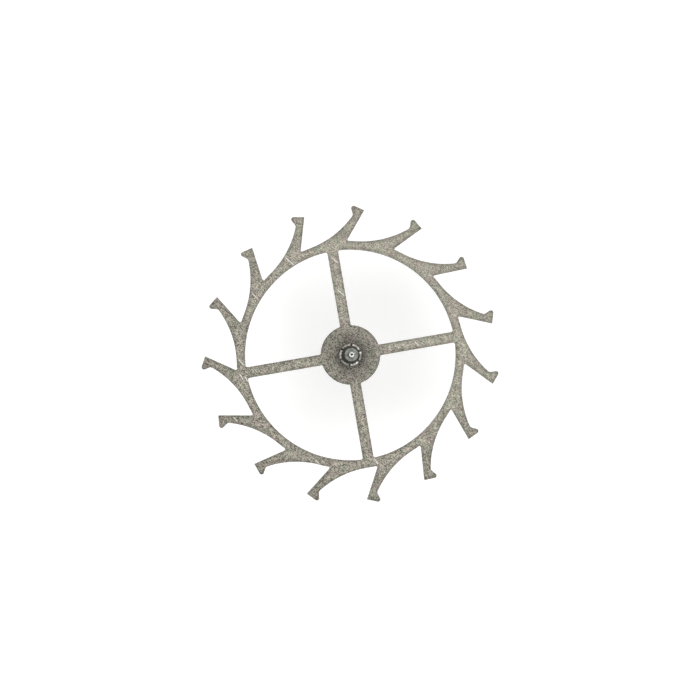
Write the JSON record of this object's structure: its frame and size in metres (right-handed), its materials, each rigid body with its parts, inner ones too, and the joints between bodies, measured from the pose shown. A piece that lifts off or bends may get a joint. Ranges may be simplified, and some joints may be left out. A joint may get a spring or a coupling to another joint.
{
  "type": "escape wheel",
  "caption": "Wristwatch escape wheel: a flat four-armed steel disc with club teeth, riveted on a pinion that is one piece with its arbor and two pivots.",
  "frame": {"origin": "on the arbor axis, on the flat shoulder that the lower pivot stands out of", "axes": "+Z along the arbor, from the lower pivot to the upper pivot, which is the side in the picture; +X is right and +Y is up in the picture. Seen from +Z the wheel turns clockwise."},
  "size_m": [0.0044, 0.0044, 0.0023],
  "materials": {
    "wheel_steel": "fine frosted grain with a few light scratches, edges slightly broken",
    "pinion_steel": "polished pivots, arbor and leaves, burnished rivet"
  },
  "bodies": {
    "root": {"escape_wheel": "wheel_steel", "escape_pinion": "pinion_steel"}
  },
  "joints": []
}
